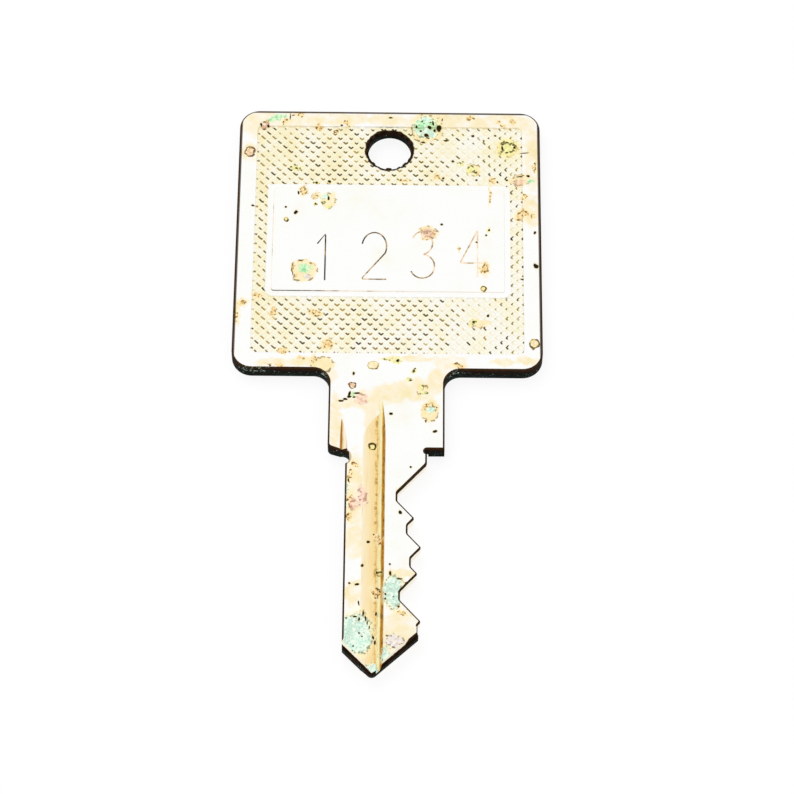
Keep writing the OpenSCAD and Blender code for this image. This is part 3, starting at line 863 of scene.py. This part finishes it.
def pipPlace(tree, at, k):
    # where a point lies from the middle of its pip, and that middle: the staggered rows are two square grids
    half = (k["pitch"] / 2, k["rowStep"], 1.0)
    grids = []
    for row in (0, 1):
        start = (k["phase"] + row * half[0], k["firstRow"] - row * half[1], 0)
        moved = add(tree, "VectorMath SUBTRACT", {0: at["mm"], 1: start})
        wrapped = add(tree, "VectorMath WRAP", {0: moved, 1: half, 2: tuple(-h for h in half)})
        level = add(tree, "VectorMath MULTIPLY", {0: wrapped, 1: (1, 1, 0)})
        # between a circle and a diamond, so that the dark arcs bend at the corners of the pips
        circle = add(tree, "VectorMath LENGTH", {0: level})
        sides = add(tree, "VectorMath ABSOLUTE", {0: level})
        diamond = add(tree, "VectorMath DOT_PRODUCT", {0: sides, 1: (0.6, 0.6, 0)})
        away = add(tree, "Math MULTIPLY_ADD", {0: circle.outputs["Value"], 1: 0.3, 2: diamond.outputs["Value"]})
        grids.append((level, away))
    (first, firstAway), (second, secondAway) = grids
    nearer = add(tree, "Math LESS_THAN", {0: firstAway, 1: secondAway})
    local = add(tree, "Mix", {"data_type": "VECTOR", 0: nearer, 4: second, 5: first}).outputs[1]
    away = add(tree, "Math MINIMUM", {0: firstAway, 1: secondAway})
    middleOf = add(tree, "VectorMath SUBTRACT", {0: at["mm"], 1: local})
    return local, away, middleOf


def towardsDirtAndShade(tree, at, local, c):
    # how well a point faces the side of its pip where the dirt and the painted shade lie
    turn = add(tree, "MapRange", {"span": c["turnSpan"], 0: at["x"]})
    stops = []
    for place, degrees in c["turns"]:
        angle = math.radians(degrees)
        stops.append((place, (0.5 + math.cos(angle) / 2, 0.5 + math.sin(angle) / 2, 0.5, 1)))
    packed = add(tree, "ValToRGB", {"stops": stops, 0: turn})
    aim = add(tree, "VectorMath MULTIPLY_ADD", {0: packed, 1: (2, 2, 0), 2: (-1, -1, 0)})
    unit = add(tree, "VectorMath NORMALIZE", {0: local})
    return add(tree, "VectorMath DOT_PRODUCT", {0: aim, 1: unit}).outputs["Value"]


def coinedBrass(c):
    # the pressed knurl: cream ground, and an arc of old dirt and painted shade on one side of each pip, no two
    # alike
    brass, tree, at = newBrass("coined_brass")
    cloud = add(tree, "TexNoise", grains["ground"], {0: at["mm"]})
    byX = add(tree, "MapRange", {"span": c["shadeAcross"], 0: at["x"]})
    byY = add(tree, "MapRange", {"span": c["shadeUp"], 0: at["y"]})
    slope = add(tree, "Math ADD", {0: byX, 1: byY})
    shade = add(tree, "Math ADD", {0: cloud, 1: slope})
    bareAndGlare = add(tree, "ValToRGB", {"stops": c["bareAndGlare"], 0: shade})
    look = bareLook(tree, bareAndGlare, c["finish"])

    local, away, middleOf = pipPlace(tree, at, knurl)
    chance = add(tree, "TexNoise", grains["chance"], {0: middleOf})
    dice = add(tree, "SeparateXYZ", {0: chance.outputs["Color"]})
    along = towardsDirtAndShade(tree, at, local, c)
    beside = offFrom(tree, away, c["arcAt"])

    # a soft tan tint on that side, a faint rosy ring all round, and the dark arc itself, old dirt and painted
    # shade, on the front alone
    glowWide = add(tree, "MapRange", {"span": c["glowWide"], 0: beside})
    glowAlong = add(tree, "MapRange", {"span": c["glowAlong"], 0: along})
    glow = add(tree, "Math MULTIPLY", {0: glowWide, 1: glowAlong})
    look = coat(tree, look, glow, c["glow"], (0.42, 0.95, 0.0))
    rosy = add(tree, "MapRange", {"span": c["rosyWide"], 0: beside})
    look = coat(tree, look, rosy, c["rosy"], (0.45, 0.9, 0.0))
    needed = add(tree, "MapRange", {"span": c["arcLength"], 0: dice.outputs["X"]})
    enough = add(tree, "Math ADD", {0: needed, 1: 0.12})
    length = add(tree, "MapRange", {0: along, 1: needed, 2: enough})
    width = add(tree, "MapRange", {"span": c["arcWidth"], 0: dice.outputs["X"]})
    thick = add(tree, "MapRange", {0: beside, 1: width, 2: c["arcCore"]})
    bar = add(tree, "MapRange", {"span": c["rare"], 0: at["x"]})
    over = add(tree, "Math SUBTRACT", {0: dice.outputs["Y"], 1: bar})
    strength = add(tree, "MapRange", {"span": c["faint"], 0: over})
    front = add(tree, "Math GREATER_THAN", {0: at["z"], 1: 1.0})
    bent = add(tree, "Math MULTIPLY", {0: length, 1: thick})
    ahead = add(tree, "Math MULTIPLY", {0: strength, 1: front})
    dark = add(tree, "Math MULTIPLY", {0: bent, 1: ahead})
    # the dark arcs' colour: old dirt and painted shade
    dirt = add(tree, "ValToRGB", {"stops": c["dirt"], 0: dice.outputs["Z"]})
    look = coat(tree, look, dark, dirt, (0.7, 0.2, 0.0))

    # a dark ring all round the hole's chamfer
    reach = holeRadius + c["holeReach"]
    fromHole = nearest(tree, at["even"], [(holeX, holeY, reach, reach)])
    darkened = add(tree, "MapRange", {"span": (1.0, 0.97), 0: fromHole})
    look = coat(tree, look, darkened, c["holeDark"], (0.7, 0.1, 0.0))
    finishBrass(tree, at, patina(tree, at, look, c["zone"], c["kept"]), c["relief"])
    return brass


milled = dict(
    stretch=(9.0, 0.35, 3.0),         # cutter lines to the mm across, along and up
    sway=0.3,                         # mm by which the tarnish wanders
    across=(-5.5, 0.5),               # X that the profile below covers, mm
    # colours by X in mm: edge groove, strip, leaning flat, wall, floor, slope; the pale ones carry a painted
    # highlight, the ochre lines at the walls are tarnish and painted shade
    profile=((-5.12, "#FDF4DC"), (-5.0, "#E0B05A"), (-4.9, "#C49440"), (-4.8, "#F0D49A"), (-4.62, "#FEF6E0"),
             (-4.36, "#FDF1D8"), (-4.26, "#DCC8A4"), (-2.6, "#FEF6DC"), (-2.2, "#FEEEC8"), (-1.5, "#FDE6B0"),
             (-1.08, "#FCDFA0"), (-0.92, "#ECC070"), (-0.8, "#FDEEB8"), (-0.72, "#FFF8C4"), (-0.46, "#FFF8C8"),
             (-0.4, "#F0CC80"), (-0.26, "#CC9A40"), (-0.14, "#E4BC60"), (-0.03, "#FDF4DC")),
    back=((0.3, "#E9C988"), (0.6, "#FBEBC4")),
    scored="#E8BC6C",
    corners=((-1.0, 0.24, "#B0842E"), (-0.2, 0.12, "#7A5014")),   # X, reach in mm and colour of the dirt there
    zone=(-5.2, -27.0, 0.1, 7.2),
    kept=("ochre", "rose", "olive", "verdigris", "rings", "beads", "pits"),
    relief=0.03,
)


def milledBrass(m):
    # the keyway, cut along the blade by a side cutter: satin lines along it, and ochre tarnish and painted shade
    # in its corners
    brass, tree, at = newBrass("milled_brass")
    stretched = add(tree, "VectorMath MULTIPLY", {0: at["mm"], 1: m["stretch"]})
    lines = add(tree, "TexNoise", grains["cutter"], {0: stretched})
    sway = add(tree, "TexNoise", grains["sway"], {0: at["mm"]})
    swayed = add(tree, "Math MULTIPLY_ADD", {0: sway, 1: m["sway"], 2: -m["sway"] / 2})
    shifted = add(tree, "Math ADD", {0: at["x"], 1: swayed})
    across = add(tree, "MapRange", {"span": m["across"], 0: shifted})
    low, high = m["across"]
    stops = [((x - low) / (high - low), colour) for x, colour in m["profile"]]
    bareAndGlare = add(tree, "ValToRGB", {"stops": stops, 0: across})
    front = add(tree, "Math GREATER_THAN", {0: at["z"], 1: 1.0})
    back = add(tree, "ValToRGB", {"stops": m["back"], 0: lines})
    either = add(tree, "Mix", {"data_type": "RGBA", 0: front, 6: back, 7: bareAndGlare})
    finish = add(tree, "CombineXYZ", {0: lines, 1: 1.0, 2: lines})
    look = dict(colour=either.outputs[2], finish=finish)
    scored = add(tree, "MapRange", {"span": (0.58, 0.72, 0.0, 0.3), 0: lines})
    look = coat(tree, look, scored, m["scored"], (0.5, 0.9, 0.2))
    # flecks of dirt in the two corners of the groove
    flecks = add(tree, "TexNoise", grains["flecks"], {0: at["mm"]})
    caught = add(tree, "MapRange", {"span": (0.5, 0.58, 0.0, 0.8), 0: flecks})
    for corner, reach, colour in m["corners"]:
        beside = offFrom(tree, shifted, corner)
        share = add(tree, "MapRange", {"span": (reach, reach / 3), 0: beside})
        for other in (caught, front):
            share = add(tree, "Math MULTIPLY", {0: share, 1: other})
        look = coat(tree, look, share, colour, (0.6, 0.6, 0.0))
    finishBrass(tree, at, patina(tree, at, look, m["zone"], m["kept"]), m["relief"])
    return brass


sheared = dict(
    # near-black: oxide, and painted shade on the walls
    oxideAndShade=((0.36, "#120500"), (0.46, "#2A1608"), (0.56, "#160A02"), (0.68, "#0A100A"), (0.84, "#182A22")),
    finish=(0.75, 0.1, 0.0),
    relief=0.06,
    handled="#40290F", handledFrom=(1.7, 1.86, 0.0, 0.8),       # by height in mm
    moss="#3E5C4E", mossFrom=(0.57, 0.64),                      # by the fine mottle
    crystal="#C4CFC6", crystalFrom=(0.63, 0.69),
    crystals=[                                                  # where they are thick, as patches
        (-6.9, 9.5, 0.9, 0.8), (-14.5, 10.3, 2.4, 0.7), (7.6, 9.7, 1.5, 0.9), (-3.2, -26.0, 0.8, 0.4),
        (-5.4, -0.2, 0.3, 0.3), (-4.4, -6.2, 0.3, 2.4),
    ],
    # painted reflection of a bright surround on the pin cuts' walls
    cutReflection="#FEF8E8",
    cutSide=(0.7, 0.9), cutLow=(-22.0, -21.7), cutHigh=(-1.2, -1.5),   # where the pin cuts are, by X and Y in mm
    cutLine=(-8.0, -6.0, 1.74, 1.5),                            # how high the painted shade line under their edge lies, by Y
    # rubbed brass, painted as near-white as the face: a painted highlight
    bright="#FDF4DC",
    rubbedTo=(-23.5, -22.6, 0.18, -0.06),                       # mm below the face, by Y
    brightCut=(3.2, -19.0, 1.6, 1.5),                           # the last cut is rubbed further down
)


def shearedEdge(s):
    # the blanked edge: brass gone brown and black in the grain of the shear, the black partly painted shade, with
    # green and grey crystals
    brass, tree, at = newBrass("sheared_edge")
    broad = add(tree, "TexNoise", grains["shear"], {0: at["mm"]})
    fine = add(tree, "TexNoise", grains["crystal"], {0: at["mm"]})
    lower = add(tree, "MapRange", {"span": (1.5, 0.7, 0.0, 0.22), 0: at["z"]})
    tone = add(tree, "Math ADD", {0: broad, 1: lower})
    # oxide, darkened to near-black as painted shade
    oxideAndShade = add(tree, "ValToRGB", {"stops": s["oxideAndShade"], 0: tone})
    look = bareLook(tree, oxideAndShade, s["finish"])

    # the worn edge itself, where handling keeps the dark coat thin and brown
    edge = add(tree, "MapRange", {"span": s["handledFrom"], 0: at["z"]})
    look = coat(tree, look, edge, s["handled"], (0.6, 0.3, 0.0))

    # crystals, thick in the corners of the neck and at the nose, sparse elsewhere and only low on the wall
    plenty = add(tree, "MapRange", {"span": (1.4, 0.6, 0.0, 0.16), 0: nearest(tree, at["ragged"], s["crystals"])})
    lowly = add(tree, "MapRange", {"span": (1.5, 1.1, -0.12, 0.0), 0: at["z"]})
    amount = add(tree, "Math ADD", {0: fine, 1: plenty})
    some = add(tree, "Math ADD", {0: amount, 1: lowly})
    mossy = add(tree, "MapRange", {"span": s["mossFrom"], 0: some})
    look = coat(tree, look, mossy, s["moss"], (0.85, 0.0, 0.4))
    pale = add(tree, "MapRange", {"span": s["crystalFrom"], 0: some})
    look = coat(tree, look, pale, s["crystal"], (0.85, 0.0, 0.8))

    # painted reflection: the pin cuts' walls shown bright, as if mirroring a white surround, below a dark line of
    # painted shade under their edge
    ahead = add(tree, "MapRange", {"span": s["cutSide"], 0: at["x"]})
    cutLow = add(tree, "MapRange", {"span": s["cutLow"], 0: at["y"]})
    cutHigh = add(tree, "MapRange", {"span": s["cutHigh"], 0: at["y"]})
    lineAt = add(tree, "MapRange", {"span": s["cutLine"], 0: at["y"]})
    wavy = add(tree, "Math MULTIPLY_ADD", {0: broad, 1: 0.3, 2: at["z"]})
    under = add(tree, "Math SUBTRACT", {0: lineAt, 1: wavy})
    below = add(tree, "MapRange", {"span": (-0.16, -0.12), 0: under})
    cutReflection = cutLow
    for other in (cutHigh, ahead, below):
        cutReflection = add(tree, "Math MULTIPLY", {0: cutReflection, 1: other})
    look = coat(tree, look, cutReflection, s["cutReflection"], (0.35, 1.0, 0.0))

    # the rounded edge is rubbed bright down to an uneven line, further at the nose; its near-white is a painted
    # highlight
    rubbedTo = add(tree, "MapRange", {"span": s["rubbedTo"], 0: at["y"]})
    drop = add(tree, "Math SUBTRACT", {0: faceZ, 1: at["z"]})
    uneven = add(tree, "Math MULTIPLY_ADD", {0: fine, 1: 0.08, 2: -0.04})
    depth = add(tree, "Math ADD", {0: drop, 1: uneven})
    fromCut = nearest(tree, at["mm"], [s["brightCut"]])
    brighter = add(tree, "MapRange", {"span": (1.1, 0.9, 0.0, 0.2), 0: fromCut})
    reached = add(tree, "Math ADD", {0: rubbedTo, 1: brighter})
    limit = add(tree, "Math SUBTRACT", {0: reached, 1: depth})
    bright = add(tree, "MapRange", {"span": (-0.008, 0.008), 0: limit})
    look = coat(tree, look, bright, s["bright"], (0.32, 1.0, 0.3))
    finishBrass(tree, at, look, s["relief"])
    return brass


struck = dict(
    dirt=((0.3, "#FDF3E4"), (0.44, "#F6DFBC"), (0.54, "#C2A268"), (0.62, "#6E5E34"), (0.72, "#35301A")),
    finish=(0.6, 0.5, 0.0),
    fade=(-9.0, 10.0, 0.14, -0.14),          # more dirt to the left, by X in mm
    top=(32.0, 33.5, 0.0, -0.5),             # hardly any on the upper step, by Y
    sides=(12.9, 13.1, 0.0, -0.26),          # little on the side steps, by X
    foot=(20.7, 20.3),                       # the lower step, by Y
    footFade=(-9.0, -5.0, 0.05, -0.2),       # where the dirt ends soon, by X
    zone=(-10.0, 21.0, 11.5, 28.5),
    relief=0.03,
)


def struckNumber(s):
    # the punched lines and the plate's step: old dirt, thick to the left and nearly rubbed out to the right
    brass, tree, at = newBrass("struck_number")
    share = add(tree, "TexNoise", grains["rubbed"], {0: at["mm"]})
    outward = add(tree, "Math ABSOLUTE", {0: at["x"]})
    foot = add(tree, "MapRange", {"span": s["foot"], 0: at["y"]})
    footFade = add(tree, "MapRange", {"span": s["footFade"], 0: at["x"]})
    parts = [add(tree, "MapRange", {"span": s[name], 0: place})
             for name, place in (("fade", at["x"]), ("top", at["y"]), ("sides", outward))]
    parts.append(add(tree, "Math MULTIPLY", {0: foot, 1: footFade}))
    for part in parts:
        share = add(tree, "Math ADD", {0: share, 1: part})
    dirt = add(tree, "ValToRGB", {"stops": s["dirt"], 0: share})
    look = bareLook(tree, dirt, s["finish"])
    finishBrass(tree, at, patina(tree, at, look, s["zone"]), s["relief"])
    return brass


# Which faces carry which finish

faceAt = dict(
    front=1.2,               # mm, above which a face belongs to the front
    back=0.75,               # and below which to the back
    level=0.985,             # how upright the normal of a level face is
    holeRim=0.26,            # mm round the bore
    sameHeight=0.004,        # mm between heights that are one
    pipTop=1.865,            # the knurl ends here and the number begins
    backFace=0.005,
    grooves=(-5.2, 0.02),    # X of what is milled into the front of the blade
    backStep=(-3.7, 4.6),    # and into its back
    strip=-4.26,             # the edge groove's outer wall lies left of this
    runOut=7.2,              # Y where the cutters left the neck
    endTilt=0.35,            # a wall across the blade turns further than this
    struckFrom=1.872,
)


def atHole(point):
    return math.hypot(point.x - holeX, point.y - holeY) < holeRadius + faceAt["holeRim"]


def isKnurled(point, normal):
    # a face of the sunk ground may wind round the panel, so its height tells
    floors = (blank["fieldFloor"], faceZ - blank["fieldFloor"])
    ground = any(abs(point.z - z) < faceAt["sameHeight"] for z in floors)
    besidePanel = not within(point.x, point.y, "panel", 0.01)
    front = faceAt["front"] < point.z < faceAt["pipTop"] and (ground or besidePanel)
    back = faceAt["backFace"] < point.z < faceAt["back"]
    wallOfHole = atHole(point) and abs(normal.z) < faceAt["level"]
    return within(point.x, point.y, "field", -0.1) and (front or back) and not wallOfHole


def isMilled(point, normal):
    (left, right), (backLeft, backRight) = faceAt["grooves"], faceAt["backStep"]
    front = faceAt["front"] < point.z < faceZ - faceAt["sameHeight"] and left < point.x < right
    back = faceAt["sameHeight"] < point.z < faceAt["back"] and backLeft < point.x < backRight
    outside = point.y < 0.0 and point.x < faceAt["strip"]
    across = abs(normal.y) > faceAt["endTilt"]
    return point.y < faceAt["runOut"] and (front or back) and not outside and not across


def isSheared(point, normal):
    return abs(normal.z) < faceAt["level"] and (atHole(point) or not within(point.x, point.y, "field", 0.3))


def isStruck(point, normal):
    return within(point.x, point.y, "plate", 0.06) and faceAt["struckFrom"] < point.z < faceZ - 0.0005


def isAnywhere(point, normal):
    return True


def finishFaces(piece, material, wanted):
    piece.data.materials.append(material)
    slot = len(piece.data.materials) - 1
    picked = [f for f in piece.data.polygons if wanted(f.center / mm, f.normal)]
    for face in picked:
        face.material_index = slot
    say(f"{material.name} covers {len(picked)} faces")


finishFaces(key, wornBrass(worn), isAnywhere)
finishFaces(key, shearedEdge(sheared), isSheared)
finishFaces(key, milledBrass(milled), isMilled)
finishFaces(key, coinedBrass(coined), isKnurled)
finishFaces(key, struckNumber(struck), isStruck)

selectOnly(key)
bpy.ops.object.shade_smooth_by_angle(angle=math.radians(35))
applyModifier(key, "WEIGHTED_NORMAL", keep_sharp=True, weight=100)

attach(key, "root")
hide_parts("key")
